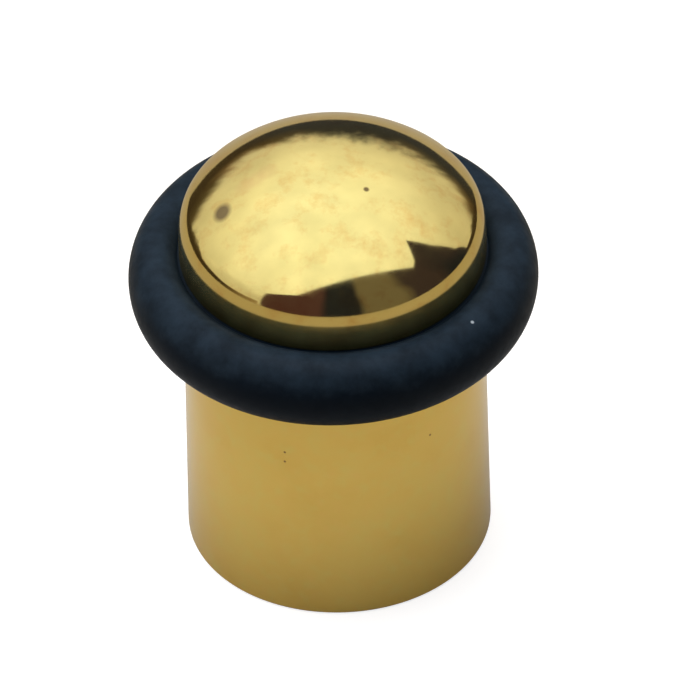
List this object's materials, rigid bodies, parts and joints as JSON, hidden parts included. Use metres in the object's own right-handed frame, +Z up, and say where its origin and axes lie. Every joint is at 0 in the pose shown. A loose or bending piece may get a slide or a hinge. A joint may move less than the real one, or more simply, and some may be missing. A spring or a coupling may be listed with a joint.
{
  "type": "door stop",
  "caption": "Floor-fixed cylindrical door stop: polished brass pedestal with a push-on domed cap over its fixing screw and a black rubber buffer ring.",
  "frame": {"origin": "centre of the base on the finished floor, where the plug's axis meets it", "axes": "+Z up along the stop's axis; X and Y lie in the floor and are interchangeable, because the stop is round"},
  "size_m": [0.0404, 0.0404, 0.0881],
  "materials": {
    "polished_brass": "polished and lacquered",
    "mirror_brass": "mirror polished",
    "black_rubber": "smooth moulded, semi-matt",
    "o_ring_rubber": "smooth",
    "zinc_plated_steel": "bright zinc plated",
    "grey_nylon": "moulded nylon",
    "pad_rubber": "matt"
  },
  "bodies": {
    "pedestal": {"body": "polished_brass", "cap_o_ring": "o_ring_rubber", "fixing_screw": "zinc_plated_steel", "screw_washer": "zinc_plated_steel", "floor_plug": "grey_nylon", "base_pad": "pad_rubber"},
    "cap": {"dome_cap": "mirror_brass"},
    "ring": {"buffer_ring": "black_rubber"}
  },
  "joints": [
    {"name": "cap_lift", "type": "slide", "parent": "pedestal", "child": "cap", "axis": [0, 0, 1], "range_m": [0, 0.025]},
    {"name": "ring_turn", "type": "hinge", "parent": "pedestal", "child": "ring", "pos_m": [0, 0, 0.03125], "axis": [0, 0, 1], "continuous": true}
  ]
}
